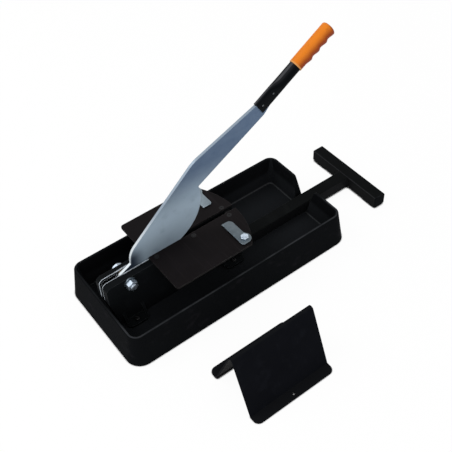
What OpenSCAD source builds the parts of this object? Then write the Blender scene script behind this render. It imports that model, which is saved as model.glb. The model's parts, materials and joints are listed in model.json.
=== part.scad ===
// Laminate cutter: lever blade in a slotted frame, tray base, T foot and a loose plank stand.
// Millimetres. Origin: middle of the tray's underside. +X towards the handle, +Z up.

/* [Base tray] */
// Length of the tray over its rim
tray_l = 470; // [440:1:560]
// Width of the tray over its rim
tray_w = 213; // [180:1:260]
// Height of the tray
tray_h = 67; // [50:1:80]
// Run of the outer skirt from the rim out to the ground, per side
skirt_run = 10; // [2:0.5:16]
// Run of the inner wall from the rim in to the floor, per side
basin_run = 5; // [2:0.5:10]
// Width of the rounded rim
rim_w = 6; // [5.5:0.5:7]
// Corner radius of the rim's outer edge
rim_corner_r = 19; // [18:1:40]
// Thickness of skirt, basin wall and floor
tray_wall = 2; // [1.5:0.25:2.5]
// Width of the end notch at the rim
notch_top_w = 62; // [50:1:90]
// Width of the end notch at the floor
notch_low_w = 32; // [30:1:46]
// Radius of the notch's shoulders
notch_r = 9; // [3:0.5:14]

/* [Frame] */
// Length of the half frames
frame_l = 286; // [270:1:310]
// Height of the half frames' top edge above the ground
frame_top = 110; // [100:1:130]
// Gap between the tray's outer rim edge and the half frames
frame_gap = 9; // [8:0.5:16]
// Outer wall thickness of the half frames
frame_wall = 5; // [3.5:0.25:7]
// Thickness of the flanges on both sides of the blade slot
flange_t = 6; // [4:0.5:9]
// Distance from the blade's middle to the near edge of its slot
slot_near = 3; // [2.9:0.1:4]
// Distance from the blade's middle to the far edge of its slot
slot_far = 7.5; // [5:0.5:8]
// Radius of the frame's upper end corner
frame_corner_r = 10; // [4:0.5:14]
// Reach of the screw feet beyond the frame's side
foot_reach = 20; // [16:0.5:26]
// Length of each screw foot
foot_l = 44; // [30:1:56]
// Thickness of the screw feet
foot_t = 5; // [3:0.5:8]

/* [Table] */
// Thickness of the table plates
table_t = 3.5; // [3:0.25:5]
// Width over both table plates
table_w = 184; // [180:1:210]
// Distance from the frame's pivot end to the tables' straight edge
table_inset = 96; // [80:1:110]
// Radius of the tables' curved edge
table_arc_r = 155; // [145:1:200]
// Overhang of the curved edge beyond the frame
table_over = 0.5; // [0:0.5:10]
// Radius of the tables' outer corners
table_corner_r = 6; // [2:0.5:15]
// Screws along each table plate
screws_per_table = 3; // [2:1:4]

/* [Fence stops] */
// Distance of the stops' front edge from the tip of the tables' arc
fence_back = 47; // [44:0.5:52]
// Width of each stop
fence_w = 23; // [18:0.5:26]
// Thickness of each stop
fence_t = 3; // [2:0.25:5]
// Length of the near stop
fence_near_l = 63; // [56:0.5:66]
// Length of the far stop
fence_far_l = 56; // [50:0.5:66]
// Distance of the stops' outer ends from the tables' sides
fence_inset = 5; // [2:0.5:8]
// Radius of the round lug that the bolt goes through
fence_lug_r = 12; // [10:0.5:12]
// Distance of the bolt from the stop's outer end
fence_bolt_in = 12.5; // [12.5:0.5:18]
// Radius of the stop's rounded inner corner
fence_corner_r = 9; // [3:0.5:14]

/* [Blade] */
// Thickness of the blade
blade_t = 5; // [3:0.1:5.2]
// Radius of the blade's root round the pivot
root_r = 13; // [11:0.5:15]
// Radius of the belly's cutting edge
belly_r = 88; // [82:0.5:92]
// Belly centre from the pivot, along X
belly_x = 80.7; // [76:0.1:86]
// Belly centre from the pivot, along Z
belly_z = 94.8; // [90:0.1:100]
// Width of the ground bevel along the belly
bevel_w = 7; // [2:0.5:12]
// Thickness left at the cutting edge
edge_t = 0.6; // [0.3:0.1:1.5]
// Slope of the spine
spine_angle = 41.4; // [38:0.1:45]
// Spine's bend from the pivot, along X
bend_x = 160; // [152:0.5:168]
// Spine's bend from the pivot, along Z
bend_z = 172.5; // [164:0.5:180]
// Radius of the bend
bend_r = 60; // [10:1:90]
// Foot of the blade's back from the pivot, along X
neck_x = 15; // [13:0.5:18]
// Foot of the blade's back from the pivot, along Z
neck_z = 22; // [18:0.5:28]
// Slope of the blade's back
back_angle = 83; // [75:0.5:88]
// Radius of the shoulder between back and spine
shoulder_r = 38; // [10:1:45]
// Height of the arm above the handle's axis where the tube begins
arm_over = 12; // [10.5:0.5:16]
// Depth of the arm below the handle's axis where the tube begins
arm_under = 19.5; // [12:0.5:20]

/* [Handle] */
// Lower end of the tube from the pivot, along X
tube_x = 299.5; // [280:0.5:320]
// Lower end of the tube from the pivot, along Z
tube_z = 213.6; // [205:0.5:222]
// Slope of the handle
handle_angle = 32; // [26:0.1:36]
// Outside diameter of the handle tube
tube_d = 20.5; // [18:0.5:24]
// Wall of the handle tube
tube_wall = 2; // [1.5:0.25:3]
// Thickness of the tube's flattened lower end
flat_t = 9.2; // [8.5:0.1:11]
// Height of the tube's flattened lower end
flat_h = 23.5; // [23:0.5:26]
// Length of the flattened lower end
flat_l = 40; // [40:1:54]
// Length of the change from flat to round
pinch_l = 18; // [14:1:24]
// Length of the handle tube below the grip
tube_free = 95.5; // [88:0.5:120]
// Length of the blade's tang in the tube
tang_l = 39.5; // [38:0.5:39.5]
// Distance of the first rivet from the tube's lower end
rivet_in = 8.5; // [7:0.5:10]
// Distance between the rivets
rivet_pitch = 26.5; // [20:0.5:28]
// Diameter of the rivets
rivet_d = 5; // [4:0.5:6]
// Length of the grip
grip_l = 84; // [82:1:110]
// Wall of the grip
grip_wall = 1.9; // [1.5:0.1:4]
// Rounding of the grip's end
grip_end_r = 6.5; // [3:0.5:8]
// Number of finger bumps on the grip
grip_bumps = 3; // [2:1:3]
// Distance of the first bump from the grip's lower end
bump_in = 24; // [20:0.5:26]
// Radius of the finger bumps
bump_r = 12.7; // [12.5:0.1:14]
// Drop of the bumps below the grip's axis
bump_drop = 1.6; // [1.2:0.2:4]
// Distance between the bumps
bump_pitch = 18.7; // [17:0.1:19]
// Drop of the flare at the grip's end below the grip's axis
flare_drop = 1.8; // [0.8:0.2:3]

/* [Pivot] */
// Distance of the pivot from the frame's end
pivot_inset = 46; // [40:0.5:54]
// Depth of the pivot below the frame's top
pivot_drop = 12; // [11.5:0.5:18]
// Diameter of the pivot bolt
pivot_d = 12; // [8:0.5:14]
// Wall of the bush round the pivot bolt
bush_wall = 2; // [1:0.25:3]
// Width over the flats of the pivot's head and nut
pivot_af = 18; // [17:0.5:22]
// Diameter of the pivot washer
pivot_washer_d = 24; // [22:0.5:30]
// Thickness of the pivot washer
pivot_washer_t = 2.5; // [1.5:0.25:4]

/* [Arm stop] */
// Distance of the stop from the frame's handle end
stop_inset = 12; // [11:0.5:20]
// Depth of the stop below the frame's top
stop_drop = 12; // [11:0.5:18]
// Diameter of the stop sleeve
stop_d = 18; // [12:0.5:20]
// Diameter of the stop bolt
stop_bolt_d = 8; // [5:0.5:9]

/* [T foot] */
// Outside width of the square tubes
tube_s = 25; // [20:0.5:26]
// Wall of the square tubes
square_wall = 2; // [1.5:0.25:3]
// Distance from the tray's rim to the cross tube
cross_gap = 104; // [60:1:150]
// Length of the cross tube
cross_l = 182; // [140:1:240]
// Length of the stem between the half frames
stem_in = 105; // [95:1:130]
// Distance between the two stem bolts
stem_bolt_pitch = 50; // [30:1:60]
// Diameter of the stem bolts
stem_bolt_d = 6; // [4:0.5:8]
// Length of the rubber pads under the cross tube
pad_l = 30; // [20:1:44]
// Thickness of the caps on the cross tube's ends
cap_t = 2; // [1.5:0.25:4]

/* [Plank stand] */
// Width of the stand
stand_w = 166; // [120:1:200]
// Distance from the tray's skirt to the stand's ridge
stand_gap = 142; // [110:0.5:260]
// Distance of the stand's end beyond the tables' straight edge
stand_shift = 15; // [0:0.5:40]
// Thickness of the stand's sheet
stand_t = 2.5; // [1.5:0.25:3.5]
// Lean of the stand's sides from upright
stand_lean = 21.5; // [15:0.5:28]
// Outer radius of the stand's ridge
ridge_r = 6; // [4:0.5:10]
// Width of the stand's feet
stand_foot = 17; // [16:0.5:30]
// Radius of the feet's corners
stand_corner_r = 10; // [4:0.5:14]
// Diameter of the holes in the feet
stand_hole_d = 6; // [4:0.5:10]

/* [Hidden] */
$fn = 64;
arc_steps = 12;
// Overlap of cutting shapes, clearances of fits, still and moving
eps = 1;
fit = 0.05;
slack = 0.1;
stem_clear = 0.5;
fence_clear = 0.3;
// Hexagon width over flats and height against the thread diameter
hex_ratio = 1.65;
head_ratio = 0.65;
nut_ratio = 0.8;

// Tray levels and sizes
wall_top = tray_h - rim_w/2;
corner_x = tray_l/2 - rim_corner_r;
corner_y = tray_w/2 - rim_corner_r;
hollow_top = tray_h - 1.5*rim_w;
floor_z = tray_wall;

// Frame places
stem_half = tube_s/2 + stem_clear;
frame_w = 2*(stem_half + frame_wall);
frame_x0 = -tray_l/2 + frame_gap;
frame_x1 = frame_x0 + frame_l;
frame_knee_z = tray_h + 3;
frame_lean = 15;
foot_in = 5;
foot_rib_t = 5;
foot_rib_h = 24;
foot_screw_d = 5.8;
foot_screw_head_d = 10;
foot_screw_head_h = 3.5;
feet_x = [frame_x0 + frame_lean + foot_in, frame_x1 - foot_in - foot_l];
foot_hole_y = frame_w/2 + foot_reach/2;
pivot_x = frame_x0 + pivot_inset;
pivot_z = frame_top - pivot_drop;
boss_r = pivot_drop - slack;
stop_x = frame_x1 - stop_inset;
stop_z = frame_top - stop_drop;
stop_boss_r = stop_drop - eps;

// Table places
table_z = frame_top + table_t;
table_x0 = frame_x0 + table_inset;
table_x1 = frame_x1 + table_over;
table_arc_x = table_x1 - table_arc_r;
table_screw_d = 4.8;
table_screw_head_d = 9;
table_screw_head_h = 2.4;
table_screw_l = 7.5;
table_boss_r = 4.6;
table_screw_x0 = table_x0 + 12;
table_screw_x1 = frame_x1 - 19.5;
table_screw_step = (table_screw_x1 - table_screw_x0)/(screws_per_table - 1);

// Fence stop places
fence_x = table_x1 - fence_back;
fence_out = table_w/2 - fence_inset;
fence_z = table_z + fence_clear;
fence_bolt_d = 8;
fence_bolt_back = 10;
fence_bolt_x = fence_x + fence_w - fence_bolt_back;
fence_bolt_y = fence_out - fence_bolt_in;

// Handle line in the blade's own frame, origin on the pivot
tube_start = [tube_x, tube_z];
along = toward(handle_angle);
across = toward(handle_angle + 90);
tube_len = tube_free + grip_l - 14;
flat_wall = 2;
tang_half = flat_h/2 - flat_wall;
slit_l = 28;
cone_r = flat_h/2 + 1.2;
tube_over = 0.6;
grip_r = tube_d/2 + grip_wall;
lip_l = 2;
lip_h = 0.3;
flare_r = grip_r + 0.1;
flare_z = grip_l - flare_r - 0.4;

// Blade outline in its own frame, origin on the pivot
belly_c = [belly_x, belly_z];
step_angle = 14;
edge_angle = atan2(belly_z, belly_x) - acos((root_r - belly_r)/norm(belly_c));
step_corner = belly_c + belly_r*toward(step_angle);
bevel_end = 8;
neck = [neck_x, neck_z];
bend = [bend_x, bend_z];
back_dir = toward(back_angle);
spine_dir = toward(spine_angle);
neck_to_bend = bend - neck;
back_len = cross2(neck_to_bend, spine_dir)/cross2(back_dir, spine_dir);
shoulder = neck + back_len*back_dir;
round_over = 0.4;
root_in = root_r - round_over;
root_angle = atan2(neck_z, neck_x) + acos(root_in/norm(neck));
arm_top = tube_start + arm_over*across;
arm_low = tube_start - arm_under*across;
slit_end = tube_start + slit_l*along;
tang_tip = tube_start + tang_l*along;

// T foot places
stem_x0 = frame_x1 - stem_in;
cross_x = tray_l/2 + cross_gap;
stem_z = floor_z + tube_s/2;
stem_bolt_x = frame_x1 - 35;
pad_w = tube_s - 3;
pad_y = cross_l/2 - 4 - pad_l/2;
cap_plug = 10;
cap_r = 2;
square_r = 1.5;

// Stand places
stand_x0 = table_x0 - stand_shift;
stand_y = -tray_w/2 - skirt_run - stand_gap;
stand_h = table_z;
ridge_z = stand_h - ridge_r;
leg_l = (stand_h - ridge_r*(1 - sin(stand_lean)))/cos(stand_lean);
stand_bend_y = ridge_r*cos(stand_lean) + leg_l*sin(stand_lean);
stand_hole_y = stand_bend_y + stand_foot/2;
stand_half = stand_bend_y + stand_foot;

// Colours
black_plastic = "#1d1e20";
black_paint = "#17181a";
table_paint = "#2a201f";
zinc = "#b9bdc0";
bright_steel = "#d3d6d8";
blade_steel = "#7d858c";
bronze = "#a67c4e";
orange_grip = "#e8731c";
rubber = "#242424";

// Unit vector at angle a
function toward(a) = [cos(a), sin(a)];

// Signed area of two plane vectors
function cross2(a, b) = a[0]*b[1] - a[1]*b[0];

// Points of an arc about c from angle a0 to a1
function arc(c, r, a0, a1) =
    [for (i = [0:arc_steps]) c + r*toward(a0 + (a1 - a0)*i/arc_steps)];

// Points that round the corner b of the path a, b, c with radius r
function rounded(a, b, c, r) =
    let (u = (a - b)/norm(a - b), v = (c - b)/norm(c - b))
    let (half = acos(u*v)/2)
    let (m = b + r/sin(half)*(u + v)/norm(u + v))
    let (p = b + r/tan(half)*u - m, q = b + r/tan(half)*v - m)
    let (a0 = atan2(p[1], p[0]), turn = atan2(cross2(p, q), p*q))
    arc(m, r, a0, a0 + turn);

// Plate with an outline in X and Z, from y0 to y1
module plate_y(y0, y1)
    translate([0, y1, 0])
        rotate([90, 0, 0])
            linear_extrude(y1 - y0)
                children();

// Round rod along Y from y0 to y1
module rod_y(r, y0, y1)
    translate([0, y1, 0])
        rotate([90, 0, 0])
            cylinder(r = r, h = y1 - y0);

// Hexagon along Y from y0 to y1, width af over its flats
module hex_y(af, y0, y1)
    translate([0, y1, 0])
        rotate([90, 0, 0])
            cylinder(d = af/cos(30), h = y1 - y0, $fn = 6);

// Hexagon along Z from z0 to z1, width af over its flats
module hex_z(af, z0, z1)
    translate([0, 0, z0])
        cylinder(d = af/cos(30), h = z1 - z0, $fn = 6);

// Distance of the skirt's outer face and the basin's inner face from the corner's centre, at height z
function skirt_x(z) = rim_corner_r + skirt_run*(1 - z/wall_top);
function basin_x(z) = rim_corner_r - rim_w - basin_run*(wall_top - z)/(wall_top - floor_z);

// Cross-section of the tray's edge, outward from the corner's centre
module edge_section() {
    polygon([[0, 0], [skirt_x(0), 0], [skirt_x(wall_top), wall_top], [basin_x(wall_top), wall_top],
        [basin_x(floor_z), floor_z], [0, floor_z]]);
    translate([rim_corner_r - rim_w/2, wall_top])
        circle(rim_w/2);
}

// The same cross-section with the hollow between its two skins, open below
module hollow_section()
    difference() {
        edge_section();
        polygon([[skirt_x(-eps) - tray_wall, -eps], [skirt_x(hollow_top) - tray_wall, hollow_top],
            [basin_x(hollow_top) + tray_wall, hollow_top], [basin_x(-eps) + tray_wall, -eps]]);
    }

// Opening in the tray's end from height z0 up, grown by g
module notch_shape(g, z0) {
    low = notch_low_w/2 + g;
    top = notch_top_w/2 + g;
    slope = atan((top - low)/(tray_h - floor_z));
    t = notch_r/tan(45 + slope/2);
    for (s = [-1, 1])
        difference() {
            polygon([[s*(top - 2*eps), tray_h + eps], [s*(top + t), tray_h + eps],
                [s*(top + t), tray_h - notch_r], [s*(top - t*sin(slope) - eps), tray_h - t*cos(slope)]]);
            translate([s*(top + t), tray_h - notch_r])
                circle(notch_r);
        }
    polygon([[-low, z0], [low, z0], [low, floor_z], [top, tray_h], [top, tray_h + eps],
        [-top, tray_h + eps], [-top, tray_h], [-low, floor_z]]);
}

module notch_block(g, z0)
    translate([tray_l/2 - rim_w - basin_run - eps, 0, 0])
        rotate([90, 0, 90])
            linear_extrude(rim_w + basin_run + skirt_run + 2*eps)
                notch_shape(g, z0);

// One end of the tray between its corners
module tray_end()
    translate([corner_x, 0, 0])
        plate_y(-corner_y, corner_y)
            children();

// The end with the notch, its hollow closed beside the notch
module notched_end()
    difference() {
        union() {
            tray_end()
                hollow_section();
            intersection() {
                tray_end()
                    edge_section();
                notch_block(tray_wall, -eps);
            }
        }
        notch_block(0, floor_z);
    }

module base_tray()
    color(black_plastic)
        difference() {
            union() {
                translate([-corner_x, -corner_y, 0])
                    cube([2*corner_x, 2*corner_y, floor_z]);
                for (i = [0:3])
                    translate([(i == 0 || i == 3 ? 1 : -1)*corner_x, (i < 2 ? 1 : -1)*corner_y, 0])
                        rotate([0, 0, 90*i])
                            rotate_extrude(angle = 90)
                                hollow_section();
                for (m = [0, 1])
                    mirror([0, m, 0])
                        translate([-corner_x, corner_y, 0])
                            rotate([90, 0, 90])
                                linear_extrude(2*corner_x)
                                    hollow_section();
                mirror([1, 0, 0])
                    tray_end()
                        hollow_section();
                notched_end();
            }
            at_frame_screws()
                translate([0, 0, -eps])
                    cylinder(d = foot_screw_d + 2*slack, h = floor_z + 2*eps);
        }

// The four screw places of the frame's feet
module at_frame_screws()
    for (x = feet_x, s = [-1, 1])
        translate([x + foot_l/2, s*foot_hole_y, 0])
            children();

// Side view of a half frame, shrunk by i
module frame_side(i) {
    x0 = frame_x0 + i;
    x1 = frame_x1 - i;
    top = frame_top - i;
    low = i > 0 ? floor_z - eps : floor_z;
    r = max(frame_corner_r - i, eps);
    polygon([[x0 + frame_lean, low], [x1, low], [x1, top], [x0 + r, top], [x0, top - r], [x0, frame_knee_z]]);
    translate([x0 + r, top - r])
        circle(r);
}

module frame_foot(x)
    translate([x, 0, floor_z]) {
        translate([0, frame_w/2 - frame_wall/2, 0])
            cube([foot_l, frame_wall/2 + foot_reach/2, foot_t]);
        translate([foot_reach/2, frame_w/2, 0])
            cube([foot_l - foot_reach, foot_reach, foot_t]);
        for (dx = [foot_reach/2, foot_l - foot_reach/2])
            translate([dx, foot_hole_y, 0])
                cylinder(d = foot_reach, h = foot_t);
        for (dx = [0, foot_l - foot_rib_t])
            translate([dx, frame_w/2 - eps, foot_t])
                rotate([90, 0, 90])
                    linear_extrude(foot_rib_t)
                        polygon([[0, -eps], [foot_reach/2, -eps], [foot_reach/2, 0], [eps, foot_rib_h],
                            [0, foot_rib_h]]);
    }

// Half frame on the far side of a slot that ends at Y = edge
module half_frame(edge)
    difference() {
        union() {
            difference() {
                plate_y(edge, frame_w/2)
                    frame_side(0);
                plate_y(edge - eps, frame_w/2 - frame_wall)
                    frame_side(flange_t);
            }
            translate([pivot_x, 0, pivot_z])
                rod_y(boss_r, edge, frame_w/2 - eps);
            translate([stop_x, 0, stop_z])
                rod_y(stop_boss_r, edge, frame_w/2 - eps);
            at_table_screws(edge)
                translate([0, 0, frame_top - table_screw_l])
                    cylinder(r = table_boss_r, h = table_screw_l - flange_t/2);
            for (x = feet_x)
                frame_foot(x);
        }
        translate([pivot_x, 0, pivot_z])
            rod_y(pivot_d/2 + fit, 0, frame_w);
        translate([stop_x, 0, stop_z])
            rod_y(stop_bolt_d/2 + fit, 0, frame_w);
        at_stem_bolts()
            rod_y(stem_bolt_d/2 + slack, 0, frame_w);
        translate([stem_x0 - eps, -stem_half, floor_z - eps])
            cube([stem_in + 2*eps, 2*stem_half, tube_s + eps + stem_clear]);
        at_table_screws(edge)
            translate([0, 0, frame_top - table_screw_l - eps])
                cylinder(d = table_screw_d + 2*slack, h = table_screw_l + 2*eps);
        at_frame_screws()
            cylinder(d = foot_screw_d + 2*slack, h = 2*foot_t + floor_z);
    }

module frame_far()
    color(black_paint)
        half_frame(slot_far);

module frame_near()
    color(black_paint)
        mirror([0, 1, 0])
            half_frame(slot_near);

module frame_screws()
    color(zinc)
        at_frame_screws()
            translate([0, 0, floor_z + foot_t]) {
                cylinder(d = foot_screw_head_d, h = foot_screw_head_h);
                translate([0, 0, 1 - foot_t - floor_z])
                    cylinder(d = foot_screw_d, h = foot_t + floor_z);
            }

// Screw places between the slot's edge and the half frame's outer side
module at_table_screws(edge)
    for (i = [0:screws_per_table - 1])
        translate([table_screw_x0 + i*table_screw_step, (edge + frame_w/2)/2, 0])
            children();

// Plan view of a table plate on the far side of a slot that ends at Y = edge
module table_plan(edge) {
    w = table_w/2;
    difference() {
        intersection() {
            union() {
                translate([table_x0, edge])
                    square([table_x1 - table_x0, w - edge - table_corner_r]);
                translate([table_x0 + table_corner_r, edge])
                    square([table_x1 - table_x0 - table_corner_r, w - edge]);
                translate([table_x0 + table_corner_r, w - table_corner_r])
                    circle(table_corner_r);
            }
            translate([table_arc_x, 0])
                union() {
                    circle(table_arc_r, $fn = 180);
                    translate([-table_arc_r, -table_w])
                        square([table_arc_r, 2*table_w]);
                }
        }
        translate([fence_bolt_x, fence_bolt_y])
            circle(fence_bolt_d/2 + fit);
    }
}

module table_plate(edge)
    difference() {
        translate([0, 0, frame_top])
            linear_extrude(table_t)
                table_plan(edge);
        at_table_screws(edge) {
            translate([0, 0, frame_top - eps])
                cylinder(d = table_screw_d + 2*slack, h = table_t + 2*eps);
            translate([0, 0, table_z - table_screw_head_h - slack])
                cylinder(d1 = table_screw_d, d2 = table_screw_head_d + 4*slack, h = table_screw_head_h + slack);
        }
    }

module table_far()
    color(table_paint)
        table_plate(slot_far);

module table_near()
    color(table_paint)
        mirror([0, 1, 0])
            table_plate(slot_near);

module table_screws()
    color(bright_steel)
        for (m = [0, 1])
            mirror([0, m, 0])
                at_table_screws(m == 0 ? slot_far : slot_near) {
                    translate([0, 0, table_z - table_screw_head_h])
                        cylinder(d1 = table_screw_d, d2 = table_screw_head_d, h = table_screw_head_h);
                    translate([0, 0, frame_top - table_screw_l + eps])
                        cylinder(d = table_screw_d, h = table_screw_l + table_t - table_screw_head_h);
                }

// Plan view of a fence stop of length l on the far side
module fence_plan(l)
    difference() {
        union() {
            translate([fence_x, fence_out - l])
                square([fence_w - fence_corner_r, l]);
            translate([fence_x, fence_out - l + fence_corner_r])
                square([fence_w, l - fence_corner_r - fence_bolt_in]);
            translate([fence_x + fence_w - fence_corner_r, fence_out - l + fence_corner_r])
                circle(fence_corner_r);
            translate([fence_bolt_x, fence_bolt_y])
                circle(fence_lug_r);
        }
        translate([fence_bolt_x, fence_bolt_y])
            circle(fence_bolt_d/2 + fit);
    }

module fence_stop(l)
    translate([0, 0, fence_z])
        linear_extrude(fence_t)
            fence_plan(l);

module fence_far()
    color(zinc)
        fence_stop(fence_far_l);

module fence_near()
    color(zinc)
        mirror([0, 1, 0])
            fence_stop(fence_near_l);

module at_fence_bolts()
    for (s = [-1, 1])
        translate([fence_bolt_x, s*fence_bolt_y, 0])
            children();

fence_head_z = fence_z + fence_t + fence_clear;
fence_head_h = 3.6;
fence_nut_h = nut_ratio*fence_bolt_d;

module fence_bolts()
    color(bright_steel)
        at_fence_bolts() {
            hex_z(hex_ratio*fence_bolt_d, fence_head_z, fence_head_z + fence_head_h);
            translate([0, 0, frame_top - fence_nut_h - eps])
                cylinder(d = fence_bolt_d, h = fence_head_z - frame_top + fence_nut_h + 2*eps);
        }

module fence_nuts()
    color(zinc)
        at_fence_bolts()
            difference() {
                hex_z(hex_ratio*fence_bolt_d, frame_top - fence_nut_h, frame_top);
                translate([0, 0, frame_top - fence_nut_h - eps])
                    cylinder(d = fence_bolt_d + 2*fit, h = fence_nut_h + 2*eps);
            }

pivot_nut_y = frame_w/2 + pivot_washer_t;
pivot_nut_t = nut_ratio*pivot_d;
bush_flange_r = 11;
bush_clear = 0.3;

module at_pivot()
    translate([pivot_x, 0, pivot_z])
        children();

module pivot_bolt()
    color(bright_steel)
        at_pivot() {
            hex_y(pivot_af, frame_w/2, frame_w/2 + head_ratio*pivot_d);
            rod_y(pivot_d/2, -pivot_nut_y - pivot_nut_t - 3, frame_w/2 + eps);
        }

// Bush with a flange that fills the wider side of the slot beside the blade
module pivot_bush()
    color(bronze)
        at_pivot()
            difference() {
                union() {
                    rod_y(pivot_d/2 + bush_wall, -slot_near, slot_far);
                    rod_y(bush_flange_r, blade_t/2 + bush_clear, slot_far);
                }
                rod_y(pivot_d/2 + fit, -frame_w, frame_w);
            }

module pivot_washer()
    color(zinc)
        at_pivot()
            difference() {
                rod_y(pivot_washer_d/2, -pivot_nut_y, -frame_w/2);
                rod_y(pivot_d/2 + slack, -frame_w, 0);
            }

module pivot_nut()
    color(zinc)
        at_pivot()
            difference() {
                hex_y(pivot_af, -pivot_nut_y - pivot_nut_t, -pivot_nut_y);
                rod_y(pivot_d/2 + fit, -2*frame_w, 0);
            }

module at_stop()
    translate([stop_x, 0, stop_z])
        children();

stop_nut_t = nut_ratio*stop_bolt_d;

module stop_bolt()
    color(zinc)
        at_stop() {
            hex_y(hex_ratio*stop_bolt_d, frame_w/2, frame_w/2 + head_ratio*stop_bolt_d);
            rod_y(stop_bolt_d/2, -frame_w/2 - stop_nut_t - 2, frame_w/2 + eps);
        }

module stop_sleeve()
    color(zinc)
        at_stop()
            difference() {
                rod_y(stop_d/2, -slot_near, slot_far);
                rod_y(stop_bolt_d/2 + fit, -frame_w, frame_w);
            }

module stop_nut()
    color(zinc)
        at_stop()
            difference() {
                hex_y(hex_ratio*stop_bolt_d, -frame_w/2 - stop_nut_t, -frame_w/2);
                rod_y(stop_bolt_d/2 + fit, -2*frame_w, 0);
            }

module at_stem_bolts()
    for (i = [0, 1])
        translate([stem_bolt_x - i*stem_bolt_pitch, 0, stem_z])
            children();

// Cross-section of the square tubes
module square_ring()
    difference() {
        soft_square(tube_s, square_r);
        square(tube_s - 2*square_wall, center = true);
    }

module stem_tube()
    color(black_paint)
        difference() {
            translate([stem_x0, 0, stem_z])
                rotate([90, 0, 90])
                    linear_extrude(cross_x - stem_x0)
                        square_ring();
            at_stem_bolts()
                rod_y(stem_bolt_d/2 + slack, -tube_s, tube_s);
        }

module cross_tube()
    color(black_paint)
        translate([cross_x + tube_s/2, cross_l/2, stem_z])
            rotate([90, 0, 0])
                linear_extrude(cross_l)
                    square_ring();

// Square with round corners
module soft_square(s, r) {
    square([s, s - 2*r], center = true);
    square([s - 2*r, s], center = true);
    for (sx = [-1, 1], sy = [-1, 1])
        translate([sx*(s/2 - r), sy*(s/2 - r)])
            circle(r);
}

module cross_caps()
    color(black_plastic)
        translate([cross_x + tube_s/2, 0, stem_z])
            for (m = [0, 1])
                mirror([0, m, 0]) {
                    plate_y(cross_l/2, cross_l/2 + cap_t)
                        soft_square(tube_s, cap_r);
                    plate_y(cross_l/2 - cap_plug, cross_l/2 + cap_t/2)
                        square(tube_s - 2*square_wall - 2*slack, center = true);
                }

module foot_pads()
    color(rubber)
        for (s = [-1, 1])
            translate([cross_x + tube_s/2 - pad_w/2, s*pad_y - pad_l/2, 0])
                cube([pad_w, pad_l, floor_z]);

stem_nut_t = nut_ratio*stem_bolt_d;

module stem_bolts()
    color(zinc)
        at_stem_bolts() {
            hex_y(hex_ratio*stem_bolt_d, -frame_w/2 - head_ratio*stem_bolt_d, -frame_w/2);
            rod_y(stem_bolt_d/2, -frame_w/2 - eps, frame_w/2 + stem_nut_t + 2);
        }

module stem_nuts()
    color(zinc)
        at_stem_bolts()
            difference() {
                hex_y(hex_ratio*stem_bolt_d, frame_w/2, frame_w/2 + stem_nut_t);
                rod_y(stem_bolt_d/2 + fit, 0, 2*frame_w);
            }

// Side view of the blade, its arm and its tang; the straight edges run a little inside the round ones
module blade_side()
    difference() {
        union() {
            polygon(concat(
                [belly_c + belly_r/2*toward(edge_angle/2), step_corner, arm_low,
                    slit_end - flat_h/2*across, slit_end - tang_half*across,
                    tang_tip - tang_half*across, tang_tip + tang_half*across,
                    tube_start + tang_half*across, arm_top],
                rounded(arm_top, bend, shoulder, bend_r),
                rounded(bend, shoulder, neck, shoulder_r),
                [neck, root_in*toward(root_angle), [0, 0], root_in*toward(edge_angle),
                    belly_c + (belly_r - round_over)*toward(edge_angle)]));
            circle(root_r);
            intersection() {
                translate(belly_c)
                    circle(belly_r, $fn = 180);
                polygon([belly_c, belly_c + 2*belly_r*toward(1.3*edge_angle),
                    belly_c + 2*belly_r*toward(edge_angle/2), belly_c + 2*belly_r*toward(step_angle)]);
            }
        }
        circle(pivot_d/2 + bush_wall + fit);
        for (i = [0, 1])
            translate(tube_start + (rivet_in + i*rivet_pitch)*along)
                circle(rivet_d/2 + fit);
    }

// Cone that grinds the bevel on the blade's far side
module bevel_ring() {
    slope = (blade_t - edge_t)/bevel_w;
    inner = belly_r - bevel_w - eps;
    outer = belly_r + eps;
    face = -blade_t/2 - slope*eps;
    translate([belly_x, 0, belly_z])
        rotate([90, 0, 0])
            rotate([0, 0, edge_angle + bevel_end])
                rotate_extrude(angle = step_angle - edge_angle - 2*bevel_end, $fn = 180)
                    polygon([[inner, face], [outer, face], [outer, face + slope*(outer - inner)]]);
}

module blade()
    color(blade_steel)
        at_pivot()
            difference() {
                plate_y(-blade_t/2, blade_t/2)
                    blade_side();
                bevel_ring();
            }

// The handle's own frame: Z along its axis, X down from its lower side
module at_handle()
    at_pivot()
        translate([tube_x, 0, tube_z])
            rotate([0, 90 - handle_angle, 0])
                children();

// Round blank of the handle tube, wide enough for the flat at its lower end
module tube_blank()
    rotate_extrude()
        polygon([[0, slack], [cone_r, slack], [cone_r, flat_l], [tube_d/2, flat_l + pinch_l],
            [tube_d/2, tube_len], [0, tube_len]]);

// Limits of a tube that is h wide at its flat end, from there to its round end
module pinch(h)
    polygon([[-h/2, 0], [h/2, 0], [h/2, flat_l], [tube_d/2 + tube_over, flat_l + pinch_l],
        [tube_d/2 + tube_over, tube_len], [-tube_d/2 - tube_over, tube_len],
        [-tube_d/2 - tube_over, flat_l + pinch_l], [-h/2, flat_l]]);

module handle_tube()
    color(black_paint)
        at_handle()
            difference() {
                intersection() {
                    tube_blank();
                    plate_y(-tube_d, tube_d)
                        pinch(flat_h);
                    rotate([0, 0, 90])
                        plate_y(-tube_d, tube_d)
                            pinch(flat_t);
                }
                translate([0, 0, flat_l + pinch_l])
                    cylinder(d = tube_d - 2*tube_wall, h = tube_len);
                translate([-tang_half - fit, -blade_t/2 - fit, -eps])
                    cube([2*tang_half + 2*fit, blade_t + 2*fit, tang_l + slack + eps]);
                translate([0, -blade_t/2 - fit, -eps])
                    cube([flat_h, blade_t + 2*fit, slit_l + slack + eps]);
                for (i = [0, 1])
                    translate([0, 0, rivet_in + i*rivet_pitch])
                        rod_y(rivet_d/2 + fit, -tube_d, tube_d);
            }

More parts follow.
